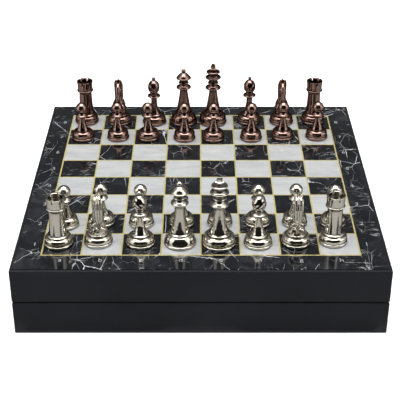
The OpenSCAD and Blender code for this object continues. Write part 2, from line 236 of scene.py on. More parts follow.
def black_marble():
    """Printed black marble with sharp white forked veins under a glossy film."""
    n = paint("black_marble_print")
    p = n.coords()
    cloud = n.noise(p, scale=26, detail=6, rough=0.62, distortion=0.6)
    colour = n.ramp(cloud, [(0.28, (0.003, 0.004, 0.005)), (0.52, (0.008, 0.009, 0.012)),
                            (0.75, (0.036, 0.040, 0.047))])
    bold = crack_layer(n, p, scale=20, width=0.34 * MM, wander=10 * MM,
                       mask_scale=26, mask=(0.50, 0.66), seed=3.1)
    middling = crack_layer(n, p, scale=36, width=0.24 * MM, wander=8 * MM,
                           mask_scale=30, mask=(0.47, 0.64), seed=1.3)
    fine = crack_layer(n, p, scale=80, width=0.20 * MM, wander=5 * MM,
                       mask_scale=32, mask=(0.50, 0.66), seed=5.2)
    veins = [(bold, 0.85, (0.80, 0.82, 0.86)), (middling, 0.75, (0.66, 0.68, 0.72)),
             (fine, 0.60, (0.60, 0.62, 0.66))]
    for strength, angle, mask, seed in ((0.65, 0.10, (0.575, 0.68), 2.4), (0.60, -0.30, (0.585, 0.69), 6.1),
                                        (0.55, 2.3, (0.61, 0.72), 8.8)):
        veins.append((feather_layer(n, p, angle, mask, seed), strength, (0.74, 0.76, 0.80)))
    for line, strength, tone in veins:
        colour = n.mix(n.math("MULTIPLY", line, strength), colour, tone)
    return n.finish(Base_Color=colour, Roughness=0.09, Specular_IOR_Level=0.5,
                    Coat_Weight=0.20, Coat_Roughness=0.05, Normal=film_bump(n, p))


def light_marble():
    """Printed pale marble with soft grey streaks under the same film."""
    n = paint("pale_marble_print")
    p = n.coords()
    drawn_out = n.mapping(p, rotation=(0, 0, 0.12), scale=(1, 3.2, 1))
    streak = n.noise(n.warp(drawn_out, scale=22, amount=30 * MM), scale=30, detail=7, rough=0.66)
    colour = n.ramp(streak, [(0.28, (0.350, 0.365, 0.382)), (0.50, (0.435, 0.450, 0.464)),
                             (0.75, (0.50, 0.510, 0.522))])
    faint = crack_layer(n, p, scale=30, width=0.9 * MM, wander=12 * MM,
                        mask_scale=24, mask=(0.50, 0.66), seed=9.4)
    colour = n.mix(n.math("MULTIPLY", faint, 0.30), colour, (0.36, 0.38, 0.41))
    return n.finish(Base_Color=colour, Roughness=0.1, Coat_Weight=0.35, Coat_Roughness=0.05,
                    Normal=film_bump(n, p))


def gold_print():
    """Thin printed gold lines, a little uneven in tone."""
    n = paint("gold_print")
    p = n.coords()
    tone = n.noise(p, scale=150, detail=4, rough=0.6)
    colour = n.ramp(tone, [(0.3, (0.40, 0.34, 0.13)), (0.7, (0.60, 0.53, 0.24))])
    speckle = n.bump(n.noise(p, scale=400, detail=2), distance=0.02 * MM, strength=0.3)
    return n.finish(Base_Color=colour, Roughness=0.16, Metallic=0.15, Coat_Weight=0.35,
                    Coat_Roughness=0.05, Normal=speckle)


def pale_ink():
    """Faint printed coordinates."""
    n = paint("pale_ink")
    worn = n.noise(n.coords(), scale=500, detail=3, rough=0.6)
    colour = n.ramp(worn, [(0.35, (0.20, 0.21, 0.23)), (0.65, (0.48, 0.49, 0.52))])
    return n.finish(Base_Color=colour, Roughness=0.12, Coat_Weight=0.3, Coat_Roughness=0.05)


# Part of the usual bright rim that a polished metal keeps where it turns away
EDGE_TINT = (0.22, 0.20, 0.18)


def metal(name, bright, dull, dark, rough, grain):
    """Cast and polished metal: grooves darkened as tarnish and painted shade, fine polishing marks, slight
    waviness.
    """
    n = paint(name)
    p = n.coords()
    cloud = n.noise(p, scale=95, detail=5, rough=0.6)
    colour = n.mix(n.remap(cloud, 0.42, 0.75, 0, 0.6), bright, dull)
    cavity = n.node("ShaderNodeAttribute", attribute_name="cavity").outputs["Fac"]
    patchy = n.remap(n.noise(p, scale=300), 0.2, 0.7, 0.55, 1.0)
    groove = n.math("MULTIPLY", n.remap(cavity, 0.02, 0.26), patchy)
    # Grooves darkened towards the dark tone: partly real tarnish, partly painted shade in the hollows
    colour = n.mix(groove, colour, dark)
    scratch = n.noise(n.mapping(p, scale=(1, 1, 0.06)), scale=1500, detail=2, rough=0.6)
    level = n.remap(scratch, 0.35, 0.75, rough, rough * 1.9)
    level = n.math("ADD", level, n.math("MULTIPLY", groove, grain))
    wave = n.bump(n.noise(p, scale=150, detail=2, rough=0.4), distance=0.16 * MM, strength=0.30)
    drawn = n.noise(n.mapping(p, scale=(1, 1, 0.10)), scale=420, detail=2)
    wave = n.bump(drawn, distance=0.14 * MM, strength=0.40, normal=wave)
    pits = n.bump(n.noise(p, scale=900, detail=3, rough=0.6), distance=0.02 * MM, strength=0.25, normal=wave)
    return n.finish(Base_Color=colour, Metallic=1.0, Roughness=level, Specular_Tint=EDGE_TINT, Normal=pits)


def brass():
    """Satin stamped brass with a little tarnish."""
    n = paint("hinge_brass")
    p = n.coords()
    tarnish = n.noise(p, scale=160, detail=6, rough=0.65)
    colour = n.ramp(tarnish, [(0.3, (0.34, 0.21, 0.07)), (0.6, (0.58, 0.40, 0.15)),
                              (0.8, (0.70, 0.52, 0.24))])
    brushed = n.noise(n.mapping(p, scale=(0.08, 1, 1)), scale=2600, detail=3, rough=0.6)
    return n.finish(Base_Color=colour, Metallic=1.0, Roughness=n.remap(brushed, 0.3, 0.8, 0.24, 0.44),
                    Normal=n.bump(brushed, distance=0.02 * MM, strength=0.4))


def foam():
    """Closed-cell black foam: fine pores with painted shade in their pits, and a soft sheen."""
    n = paint("black_foam")
    p = n.coords()
    pore = n.voronoi(p, scale=1500)
    patch = n.noise(p, scale=60, detail=5, rough=0.6)
    colour = n.ramp(patch, [(0.3, (0.010, 0.010, 0.011)), (0.75, (0.024, 0.024, 0.026))])
    # Painted shade: the pores' pits are darkened
    colour = n.mix(n.remap(pore, 0.35, 0.1, 0, 0.55), colour, (0.003, 0.003, 0.003))
    rubble = n.math("MULTIPLY", n.noise(p, scale=700), 0.5)
    height = n.math("ADD", n.remap(pore, 0.1, 0.5), rubble)
    return n.finish(Base_Color=colour, Roughness=0.95, Specular_IOR_Level=0.2, Sheen_Weight=0.25,
                    Sheen_Roughness=0.6, Normal=n.bump(height, distance=0.22 * MM, strength=0.8))


def felt():
    """Dark green felt discs: short matted fibres."""
    n = paint("green_felt")
    matted = n.warp(n.coords(), scale=900, amount=2 * MM)
    fibre = n.noise(matted, scale=2600, detail=5, rough=0.7)
    colour = n.ramp(fibre, [(0.3, (0.004, 0.018, 0.010)), (0.7, (0.016, 0.055, 0.030))])
    return n.finish(Base_Color=colour, Roughness=1.0, Sheen_Weight=0.5, Sheen_Roughness=0.5,
                    Specular_IOR_Level=0.15, Normal=n.bump(fibre, distance=0.2 * MM, strength=0.9))


def matte(name, scale, low, high, glow=0.0, gloss=0.0, rough=1.0, detail=2):
    """Matte grey between two tones, a touch cloudy; glow is its own light."""
    n = paint(name)
    cloud = n.noise(n.coords(), scale, detail)
    colour = n.ramp(cloud, [(0.3, (low,) * 3), (0.7, (high,) * 3)])
    return n.finish(Base_Color=colour, Roughness=rough, Specular_IOR_Level=gloss,
                    Emission_Color=(1, 1, 1), Emission_Strength=glow)


def card_paint(name, tone):
    """Matte card of one tone."""
    return matte(name, scale=20, low=tone * 0.92, high=tone * 1.08, detail=3)


LACQUER, BLACK, PALE, GOLD, INK = lacquer(), black_marble(), light_marble(), gold_print(), pale_ink()
BRASS, FOAM, FELT = brass(), foam(), felt()
# dark is the tone of the grooves: tarnish and painted shade
NICKEL = metal("polished_nickel", bright=(0.72, 0.685, 0.61), dull=(0.60, 0.565, 0.49),
               dark=(0.040, 0.034, 0.026), rough=0.035, grain=0.22)
COPPER = metal("antique_copper", bright=(0.300, 0.198, 0.170), dull=(0.215, 0.132, 0.110),
               dark=(0.012, 0.006, 0.004), rough=0.05, grain=0.25)
METALS = {"silver": (NICKEL, "polished_nickel"), "bronze": (COPPER, "antique_copper")}

# ---- mesh helpers

def add_object(name, data, *materials):
    """A new object in the scene, with its materials."""
    made = bpy.data.objects.new(name, data)
    bpy.context.scene.collection.objects.link(made)
    for material in materials:
        data.materials.append(material)
    return made


def mark_smooth(bm, angle=32):
    """Smooth faces with sharp edges where the surface folds by more than the angle."""
    limit = math.radians(angle)
    for face in bm.faces:
        face.smooth = True
    for edge in bm.edges:
        edge.smooth = not (len(edge.link_faces) != 2 or edge.calc_face_angle(0) > limit)


def to_mesh(bm, name, angle=32):
    """The finished bmesh as a mesh, sharp where it folds by more than the angle."""
    mark_smooth(bm, angle)
    mesh = bpy.data.meshes.new(name)
    bm.to_mesh(mesh)
    bm.free()
    return mesh


def bridge(bm, low, high):
    """Faces between two closed rings of points; a ring of one point is a tip."""
    around = max(len(low), len(high))
    for k in range(around):
        j = (k + 1) % around
        if len(low) == 1:
            bm.faces.new((low[0], high[j], high[k]))
        elif len(high) == 1:
            bm.faces.new((low[k], low[j], high[0]))
        else:
            bm.faces.new((low[k], low[j], high[j], high[k]))


def set_cavity(mesh, values):
    """Stores each point's depth in a groove, which the metals read."""
    attribute = mesh.attributes.new("cavity", "FLOAT", "POINT")
    attribute.data.foreach_set("value", np.asarray(values, np.float32))


def evaluated_copy(obj, name):
    """The object's mesh with its modifiers applied."""
    graph = bpy.context.evaluated_depsgraph_get()
    mesh = bpy.data.meshes.new_from_object(obj.evaluated_get(graph))
    mesh.name = name
    return mesh


# ---- turned shapes, in millimetres

ON_AXIS = 1e-4          # radius under which an outline's point lies on the axis


def bend(a, b, c, steps=12):
    """Points of a curve from a to c, pulled towards b."""
    a, b, c = (np.array(v, float) for v in (a, b, c))
    shares = np.linspace(0, 1, steps + 1)
    return [tuple((1 - t) ** 2 * a + 2 * t * (1 - t) * b + t * t * c) for t in shares]


def rim(r, z0, z1, depth, steps=12):
    """Half-round moulding that stands out to radius r between two heights."""
    turns = np.linspace(0, math.pi, steps + 1)
    return [(r - depth + depth * math.sin(t), z0 + (z1 - z0) * (1 - math.cos(t)) / 2) for t in turns]


def ball(r, z, low=-0.9, steps=22):
    """Upper stretch of a ball on the axis, from low radii under its centre to its top."""
    start = math.asin(low)
    return [(r * math.cos(t), z + r * math.sin(t)) for t in np.linspace(start, math.pi / 2, steps)]


def foot(r, ring_r, dome_z, ring_z, slope=0.0):
    """Foot ring, groove, dome and the ring under the stem; slope turns the dome into a bell."""
    return (
        [(0, 0), (r - 1.4, 0)] + rim(r, 0.2, 2.6, 0.8) + [(r - 1.5, 3.0)]
        + bend((r - 0.9, 3.4), (r - 0.1 - slope, dome_z - 0.6 - slope), (ring_r + 0.5, dome_z), 16)
        + [(ring_r - 0.4, dome_z + 0.3)] + rim(ring_r, dome_z + 0.6, ring_z, 0.6)
    )


def soften(points, radius=0.28, least_fold=18):
    """Rounds each fold of the outline of more than so many degrees, as polishing does."""
    out = [points[0]]
    for before, here, after in zip(points, points[1:], points[2:]):
        a, b, c = (np.array(v, float) for v in (before, here, after))
        u, v = a - b, c - b
        lu, lv = np.linalg.norm(u), np.linalg.norm(v)
        if min(lu, lv) < 1e-6:
            continue
        fold = math.pi - math.acos(np.clip(u @ v / lu / lv, -1, 1))
        if fold < math.radians(least_fold):
            out.append(tuple(b))
            continue
        reach = min(radius, lu * 0.45, lv * 0.45)
        out.extend(bend(b + u / lu * reach, b, b + v / lv * reach, 3))
    out.append(points[-1])
    return out


def outline_cavity(points, spread=1.1):
    """How far each outline point lies inside the outline's own blurred copy, in millimetres."""
    pts = np.array(points, float)
    step = np.r_[0, np.linalg.norm(np.diff(pts, axis=0), axis=1)]
    along = np.cumsum(step)
    share = (step + np.r_[step[1:], 0]) / 2 + 1e-6
    weight = np.exp(-((along[:, None] - along[None, :]) ** 2) / (2 * spread**2)) * share[None, :]
    blurred = weight @ pts / weight.sum(1, keepdims=True)
    tangent = np.gradient(pts, axis=0)
    normal = np.c_[tangent[:, 1], -tangent[:, 0]]
    normal /= np.linalg.norm(normal, axis=1, keepdims=True) + 1e-9
    return ((blurred - pts) * normal).sum(1)


def lathe(name, points, around=96):
    """Turns an outline about the axis; only its first and last point are on the axis."""
    points = soften(points)
    bm = bmesh.new()
    turns = [2 * math.pi * k / around for k in range(around)]
    rings, cavity = [], []
    for (r, z), depth in zip(points, outline_cavity(points)):
        if r < ON_AXIS:
            rings.append([bm.verts.new((0, 0, z * MM))])
        else:
            rings.append([bm.verts.new((r * MM * math.cos(t), r * MM * math.sin(t), z * MM)) for t in turns])
        cavity.extend([depth] * len(rings[-1]))
    for low, high in zip(rings, rings[1:]):
        bridge(bm, low, high)
    mesh = to_mesh(bm, name, 40)
    set_cavity(mesh, cavity)
    return mesh


def mesh_cavity(mesh, rounds=14):
    """Cavity of each point of a free-form mesh: how far smoothing would move it outwards."""
    co = np.zeros(len(mesh.vertices) * 3)
    mesh.vertices.foreach_get("co", co)
    normal = np.zeros(len(mesh.vertices) * 3)
    mesh.vertices.foreach_get("normal", normal)
    edge = np.zeros(len(mesh.edges) * 2, int)
    mesh.edges.foreach_get("vertices", edge)
    co, normal, edge = co.reshape(-1, 3) / MM, normal.reshape(-1, 3), edge.reshape(-1, 2)
    count = np.bincount(edge.ravel(), minlength=len(co))[:, None].clip(1)
    moved = co.copy()
    for _ in range(rounds):
        total = np.zeros_like(moved)
        np.add.at(total, edge[:, 0], moved[edge[:, 1]])
        np.add.at(total, edge[:, 1], moved[edge[:, 0]])
        moved = total / count
    return ((moved - co) * normal).sum(1)


def boolean(mesh, cutters, operation="DIFFERENCE"):
    """The mesh with each cutter mesh taken away or joined on."""
    target = add_object("work", mesh)
    tools = []
    for cutter in cutters:
        tool = add_object("tool", cutter)
        tools.append(tool)
        mod = target.modifiers.new("cut", "BOOLEAN")
        mod.object, mod.operation, mod.solver = tool, operation, "EXACT"
    bpy.context.view_layer.update()
    made = evaluated_copy(target, mesh.name)
    for obj in [target, *tools]:
        bpy.data.objects.remove(obj)
    return made


def block_mesh(size, place, rotation, bevel):
    """Box of a size in millimetres, turned, placed and with eased edges."""
    bm = bmesh.new()
    bmesh.ops.create_cube(bm, size=1)
    for v in bm.verts:
        v.co = Vector(a * b * MM for a, b in zip(v.co, size))
    bmesh.ops.bevel(bm, geom=bm.edges[:], offset=bevel * MM, segments=2, profile=0.5, affect="EDGES")
    for v in bm.verts:
        v.co = rotation @ v.co + Vector(place) * MM
    return to_mesh(bm, "block")


def refresh(mesh, angle=38, cavity=True):
    """Cleans a cut mesh, marks its sharp edges and gives it a cavity attribute."""
    bm = bmesh.new()
    bm.from_mesh(mesh)
    bmesh.ops.remove_doubles(bm, verts=bm.verts, dist=1e-6)
    mark_smooth(bm, angle)
    bm.to_mesh(mesh)
    bm.free()
    if cavity and "cavity" not in mesh.attributes:
        set_cavity(mesh, mesh_cavity(mesh))
    return mesh


# ---- the pieces' shapes, in millimetres

FOOT_R = {"king": 16.3, "queen": 15.8, "bishop": 14.1, "knight": 14.2, "rook": 14.0, "pawn": 12.8}


def king_shape():
    """Foot, tapering stem, two collars with a ring between, flared crown with its ring, cross."""
    points = (
        foot(FOOT_R["king"], 11.2, 11, 13.2)
        + [(9.9, 13.5)] + bend((9.2, 13.8), (6.6, 25), (4.6, 40), 16)
        + bend((4.6, 40.3), (5.2, 43.2), (8.6, 43.7)) + rim(9.1, 43.8, 45.4, 0.5)
        + [(7.9, 45.8)] + bend((7.6, 46.0), (5.0, 47.2), (4.5, 49.6)) + rim(6.2, 49.9, 51.7, 0.9)
        + bend((4.9, 52.0), (5.2, 55.6), (8.4, 56.8)) + rim(9.1, 56.9, 58.3, 0.5)
        + bend((7.9, 58.6), (5.7, 59.6), (5.9, 61.6)) + bend((5.9, 61.6), (6.2, 63.0), (7.3, 63.3))
        + rim(7.9, 63.4, 65.4, 0.7) + bend((6.8, 65.6), (5.4, 64.9), (4.2, 64.8)) + [(0, 64.8)]
    )
    return refresh(boolean(lathe("king", points), [cross_mesh()], "UNION"))


def cross_mesh():
    """Squat cross: four short, thick flared arms, eased all round."""
    reaches = (3.8, 2.85, 5.6, 2.85)                     # up, right, down, left
    middle, half_thick, waist, flare = 70.4, 1.8, 1.5, 1.95
    outline = []
    for quarter, reach in enumerate(reaches):
        t = quarter * math.pi / 2
        along, across = Vector((math.sin(t), math.cos(t))), Vector((math.cos(t), -math.sin(t)))
        outline += [along * waist - across * waist, along * reach - across * flare,
                    along * reach + across * flare]
    bm = bmesh.new()
    faces = []
    for side in (-1, 1):
        verts = [bm.verts.new((p.x * MM, side * half_thick * MM, (middle + p.y) * MM)) for p in outline]
        faces.append(bm.faces.new(verts if side < 0 else list(reversed(verts))))
    low, high = faces
    high_verts = list(reversed(high.verts[:]))
    for k in range(len(outline)):
        j = (k + 1) % len(outline)
        bm.faces.new((low.verts[k], high_verts[k], high_verts[j], low.verts[j]))
    bmesh.ops.recalc_face_normals(bm, faces=bm.faces)
    bmesh.ops.bevel(bm, geom=bm.edges[:], offset=0.35 * MM, segments=2, profile=0.5, affect="EDGES")
    return to_mesh(bm, "cross")


def queen_shape():
    """Foot, tapering stem, two collars with a ring between, domed crown and a ball."""
    points = (
        foot(FOOT_R["queen"], 10.8, 10.8, 12.8, 1.6)
        + [(9.6, 13.1)] + bend((9.0, 13.4), (6.5, 25), (4.6, 40.4), 16)
        + bend((4.6, 40.7), (5.2, 43.8), (8.2, 44.3)) + rim(8.6, 44.4, 46, 0.5)
        + [(7.4, 46.4)] + bend((7.1, 46.6), (4.8, 47.8), (4.4, 49.8)) + rim(5.9, 50.1, 51.9, 0.9)
        + bend((4.7, 52.2), (5.2, 55.2), (8.0, 56.1)) + rim(8.6, 56.2, 57.6, 0.5)
        + [(8.1, 57.9)] + bend((7.9, 58.0), (5.6, 61.6), (1.9, 63.6), 18) + ball(2.7, 65.6, -0.75)
    )
    return lathe("queen", points)


def bishop_shape(lean):
    """Mitre with a pair of slanting slots; lean 1 slants them down to the right, -1 to the left."""
    points = (
        foot(FOOT_R["bishop"], 9, 9.4, 11.2)
        + [(7.9, 11.5)] + bend((7.4, 11.8), (3.3, 18.5), (3.4, 30.4), 16)
        + bend((3.4, 30.8), (4.0, 32.8), (7.0, 33.3)) + rim(7.5, 33.4, 34.8, 0.5)
        + bend((6.4, 35.2), (4.2, 35.9), (4.1, 37.2)) + rim(4.6, 37.3, 38.5, 0.4)
        + bend((4.0, 38.7), (6.9, 40.4), (6.9, 45.0), 16) + bend((6.9, 45.0), (6.9, 51.2), (1.6, 53.8), 18)
        + [(1.5, 54.0)] + ball(2.1, 55.9, -0.7)
    )
    body = lathe("bishop", points)
    tilt = Matrix.Rotation(math.radians(45 * lean), 3, "Y")
    slot_size, slot_middle = (10, 6, 1.8), Vector((0, -5.6, 48))
    slots = [block_mesh(slot_size, tilt @ Vector((0, 0, shift)) + slot_middle, tilt, 0.2)
             for shift in (-1.8, 1.8)]
    mesh = refresh(boolean(body, slots))
    # The slots' walls take the full groove darkening: tarnish and painted shade
    tarnish = mesh.attributes["cavity"].data
    for v in mesh.vertices:
        tarnish[v.index].value = max(tarnish[v.index].value, slot_depth(v.co / MM))
    return mesh


def slot_depth(p):
    """1 on the walls of a bishop's slots, 0 on the outside of the mitre; the metal darkens the walls fully,
    as tarnish and painted shade.
    """
    if not (-6.5 < p.y < 0 and 41 < p.z < 52):
        return 0.0
    # A little under the mitre's skin, which draws in above 46 and below 45
    skin = 6.2 - 0.09 * max(p.z - 46, 0) ** 2 - 0.03 * max(45 - p.z, 0) ** 2
    return 1.0 if math.hypot(p.x, p.y) < skin else 0.0


def rook_shape(turn):
    """Turn sets the bearing of the first pair of notches between the battlements."""
    points = (
        foot(FOOT_R["rook"], 10.6, 9, 11)
        + [(9.6, 11.3)] + bend((9.0, 11.6), (7.5, 22), (7.3, 37), 16)
        + bend((7.3, 37.4), (7.6, 39.4), (8.9, 39.9)) + rim(9.5, 40, 41.6, 0.6)
        + bend((8.7, 42), (8.5, 46), (9.3, 52.4)) + [(7.2, 52.4)]
        + bend((6.8, 52.0), (6.5, 49), (6.5, 47.0)) + [(0, 46.6)]
    )
    body = lathe("rook", points)
    gap_size, gap_middle = (1.6, 24, 5.0), (0, 0, 51.3)
    gaps = [block_mesh(gap_size, gap_middle, Matrix.Rotation(math.radians(turn + step), 3, "Z"), 0.25)
            for step in (0, 60, 120)]
    return refresh(boolean(body, gaps))


def pawn_shape():
    """Foot with a rounded dome, short stem, one thin collar and a round head."""
    points = (
        [(0, 0), (11.5, 0)] + rim(FOOT_R["pawn"], 0.2, 2.7, 0.8) + [(11.4, 3.1)]
        + bend((11.9, 3.5), (12.7, 9.9), (7.9, 10.4), 16) + [(7.3, 10.6)]
        + bend((6.9, 10.8), (3.9, 17), (2.8, 26.2), 14) + bend((2.8, 26.3), (3.2, 27.9), (6.1, 28.3))
        + rim(6.9, 28.4, 29.6, 0.5) + bend((6.2, 29.7), (4.9, 30.7), (3.9, 32.4)) + ball(6.6, 38.0, -0.84)
    )
    return lathe("pawn", points)


# The horse: oval sections along a spine, strands of mane, ears, eyes; joined by a fine remesh

def tube(bm, stations, around=20):
    """Closed tube through stations (x, y, z, half depth, half width), depth being square to its path."""
    centres = [Vector(s[:3]) for s in stations]
    rings = []
    for k, s in enumerate(stations):
        ahead = centres[min(k + 1, len(centres) - 1)] - centres[max(k - 1, 0)]
        ahead.normalize()
        side = Vector((1, 0, 0))
        deep = ahead.cross(side).normalized()
        side = deep.cross(ahead).normalized()
        ring = []
        for j in range(around):
            t = 2 * math.pi * j / around
            out = deep * s[3] * math.cos(t) + side * s[4] * math.sin(t)
            ring.append(bm.verts.new((centres[k] + out) * MM))
        rings.append(ring)
    for low, high in zip(rings, rings[1:]):
        bridge(bm, low, high)
    bm.faces.new(list(reversed(rings[0])))
    bm.faces.new(rings[-1])


def blob(bm, place, radii):
    """Adds a ball stretched to three radii."""
    made = bmesh.ops.create_uvsphere(bm, u_segments=20, v_segments=14, radius=1)
    for v in made["verts"]:
        v.co = (Vector(a * b for a, b in zip(v.co, radii)) + Vector(place)) * MM


def strand(bm, route, thick, flat=0.75):
    """Lock of mane: a tapering tube through given points."""
    count = len(route)
    stations = []
    for k, point in enumerate(route):
        taper = 0.35 + 0.65 * math.sin(math.pi * (0.16 + 0.8 * k / (count - 1)))
        stations.append((*point, thick * taper, thick * flat * taper))
    tube(bm, stations, 10)


def voxel_mesh(parts, name, voxel, smooth):
    """One skin over all the parts."""
    obj = add_object("work", parts)
    mod = obj.modifiers.new("skin", "REMESH")
    mod.mode, mod.voxel_size = "VOXEL", voxel * MM
    mod = obj.modifiers.new("soft", "SMOOTH")
    mod.factor, mod.iterations = 0.5, smooth
    bpy.context.view_layer.update()
    made = evaluated_copy(obj, name)
    bpy.data.objects.remove(obj)
    return made


def horse_parts():
    """The horse's overlapping parts, looking to +Y with its neck on the collar at 9.6."""
    bm = bmesh.new()
    # Neck and chest, from the collar to the poll
    tube(bm, [
        (0, 0.2, 9.6, 8.2, 7.4), (0, 0.0, 12.0, 8.6, 7.6), (0, -0.6, 16.5, 8.6, 7.2),
        (0, -1.6, 22, 7.9, 6.2), (0, -2.6, 27.5, 7.0, 5.0), (0, -3.2, 33, 6.2, 4.4),
        (0, -3.2, 38.2, 5.7, 4.4), (0, -2.6, 43, 5.5, 4.4), (0, -2.0, 46.6, 5.0, 4.2),
        (0, -1.8, 48.4, 3.4, 3.4), (0, -1.8, 49.2, 2.2, 2.6),
    ], 28)
    # Head, from the poll to the lips
    tube(bm, [
        (0, -1.6, 48.4, 2.4, 3.0), (0, 0.2, 47.4, 4.2, 3.9), (0, 3.0, 44.8, 5.0, 3.7),
        (0, 5.6, 41.0, 4.5, 2.9), (0, 7.9, 37.4, 3.6, 2.2), (0, 9.8, 34.6, 3.1, 2.0),
        (0, 11.0, 32.9, 2.7, 2.0), (0, 11.6, 31.9, 1.5, 1.3),
    ], 24)
    for side in (-1, 1):
        blob(bm, (side * 2.0, 2.4, 39.0), (2.4, 3.2, 3.4))          # cheek
        blob(bm, (side * 3.1, 4.8, 44.2), (1.5, 2.2, 1.0))          # brow
        blob(bm, (side * 3.2, 5.2, 42.3), (0.9, 1.1, 1.0))          # eye
        blob(bm, (side * 1.5, 10.8, 34.0), (1.1, 1.3, 1.2))         # nostril wing
        blob(bm, (side * 4.5, 4.6, 18.4), (3.6, 4.2, 6.6))          # breast
        blob(bm, (side * 4.9, -2.6, 15.4), (3.1, 4.8, 4.8))         # shoulder
        ear = [(side * 2.2, -1.9, 47.0, 2.0, 1.7), (side * 2.5, -1.5, 50.0, 1.9, 1.75),
               (side * 2.7, -0.9, 52.6, 1.6, 1.55), (side * 2.7, -0.3, 54.3, 0.9, 0.9)]
        tube(bm, ear, 14)
    # Lower lip and forelock
    blob(bm, (0, 9.2, 32.1), (1.5, 2.0, 1.3))
    strand(bm, [(0, 0.6, 49.6), (0, 3.0, 48.6), (0, 5.2, 46.4), (0, 6.8, 43.6)], 1.1)
    # Mane: upright locks from the poll down the nape, then lobes that sweep out over the shoulders
    strand(bm, [(0, -3.0, 53.2), (0, -5.6, 51.6), (0, -7.9, 47.6), (0, -9.2, 42), (0, -9.9, 35),
                (0, -10.2, 28), (0, -10.2, 21), (0, -9.8, 14.5)], 2.0, 0.75)
    for side in (-1, 1):
        strand(bm, [(side * 2.3, -3.2, 52.6), (side * 2.6, -5.6, 50.4), (side * 2.7, -7.2, 46.4),
                    (side * 2.7, -8.0, 41), (side * 2.6, -8.7, 35), (side * 2.2, -9.3, 28.5),
                    (side * 1.2, -9.8, 23.5)], 2.0, 0.7)
        strand(bm, [(side * 4.1, -2.6, 50.0), (side * 4.2, -4.4, 46.4), (side * 4.1, -5.4, 40.6),
                    (side * 4.2, -6.2, 34), (side * 4.6, -6.6, 28.8)], 1.5, 0.75)
        strand(bm, [(side * 1.6, -8.9, 27.4), (side * 4.3, -7.4, 24.6), (side * 6.0, -4.6, 21.6),
                    (side * 6.4, -1.8, 19.0)], 2.3, 0.85)
        strand(bm, [(side * 1.4, -9.2, 20.4), (side * 4.4, -8.2, 18.6), (side * 6.8, -5.4, 16.0),
                    (side * 7.4, -2.2, 13.6)], 2.6, 0.85)
    bmesh.ops.recalc_face_normals(bm, faces=bm.faces)
    return to_mesh(bm, "horse_parts")


def horse_cuts():
    """What is cut out of the horse: its mouth, and the dimples of its face."""
    mouth = block_mesh((9, 5.0, 0.5), (0, 10.4, 32.8), Matrix.Rotation(math.radians(-22), 3, "X"), 0.15)
    bm = bmesh.new()
    for side in (-1, 1):
        blob(bm, (side * 2.1, 11.6, 34.3), (0.55, 0.75, 0.5))       # nostril
        blob(bm, (side * 2.65, 0.9, 51.2), (1.0, 1.2, 2.5))         # ear's hollow
        blob(bm, (side * 3.9, 6.6, 42.2), (0.7, 0.9, 0.6))          # eye's corner
    return [mouth, to_mesh(bm, "dimples")]


def knight_shape():
    """The horse's skin, cut and joined to its turned foot."""
    skin = voxel_mesh(horse_parts(), "horse", 0.34, 4)
    skin = boolean(skin, horse_cuts())
    points = foot(FOOT_R["knight"], 9.8, 9.4, 11.6) + [(8.9, 11.9), (0, 12.0)]
    return refresh(boolean(lathe("knight", points), [skin], "UNION"))


KNIGHT, PAWN = knight_shape(), pawn_shape()
RANK_SHAPES = {
    "a": rook_shape(-15), "b": KNIGHT, "c": bishop_shape(1), "d": queen_shape(),
    "e": king_shape(), "f": bishop_shape(-1), "g": KNIGHT, "h": rook_shape(15),
}
FELT_T = 0.5            # thickness of a felt disc
FELT_INSET = 1.5        # how far its rim stays inside the foot
FELT_GAP = 0.02         # clearance between a disc and the printed sheet


def felt_disc(r, around=72, ragged=0.006):
    """Thin disc with a soft, slightly ragged rim."""
    bm = bmesh.new()
    rng = random.Random(7)
    wobble = [1 + ragged * rng.uniform(-1, 1) for _ in range(around)]
    rows = [(0.0, 0.0), (r - 0.25, 0.0), (r - 0.02, 0.15), (r, 0.3), (r - 0.12, FELT_T), (0.0, FELT_T)]
    rings = []
    for radius, z in rows:
        ring = []
        for k, w in enumerate(wobble if radius else [0.0]):
            turn, reach = 2 * math.pi * k / around, radius * w * MM
            ring.append(bm.verts.new((reach * math.cos(turn), reach * math.sin(turn), z * MM)))
        rings.append(ring)
    for low, high in zip(rings, rings[1:]):
        bridge(bm, low, high)
    return to_mesh(bm, "felt_disc", 50)


FELTS = {kind: felt_disc(r - FELT_INSET) for kind, r in FOOT_R.items()}

# Degrees that a piece is turned by: the bronze knights face the silver side, one silver knight
# stands askew, and the bronze bishops show their slots at an angle
TURNS = {
    "bronze_knight_b": 180, "bronze_knight_g": 180, "silver_knight_b": 15,
    "bronze_bishop_c": -35, "bronze_bishop_f": 35,
}


def place_piece(side, kind, file):
    """The metal piece and its felt disc, standing where the frame has them and as tall."""
    node = f"{side}_{kind}_{file}"
    at = axis_of(node)
    material, slot_name = METALS[side]
    mesh = (PAWN if kind == "pawn" else RANK_SHAPES[file]).copy()
    mesh.materials.clear()
    shown = add_object(f"{node}_metal", mesh, material)
    low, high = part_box(node)
    tall = max(v.co.z for v in mesh.vertices)
    squeeze = (high.z - low.z - FELT_T * MM) / tall
    shown.location = at + Vector((0, 0, FELT_T * MM))
    shown.scale = (1, 1, squeeze)
    shown.rotation_euler = (0, 0, math.radians(TURNS.get(node, 0)))
    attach(shown, node)
    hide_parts(node)
    disc = add_object(f"{node}_felt", FELTS[kind].copy(), FELT)
    disc.location = at + Vector((0, 0, FELT_GAP * MM))
    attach(disc, node)


for side in ("silver", "bronze"):
    for file, kind in zip(FILES, RANK):
        place_piece(side, kind, file)
        place_piece(side, "pawn", file)

# ---- the box

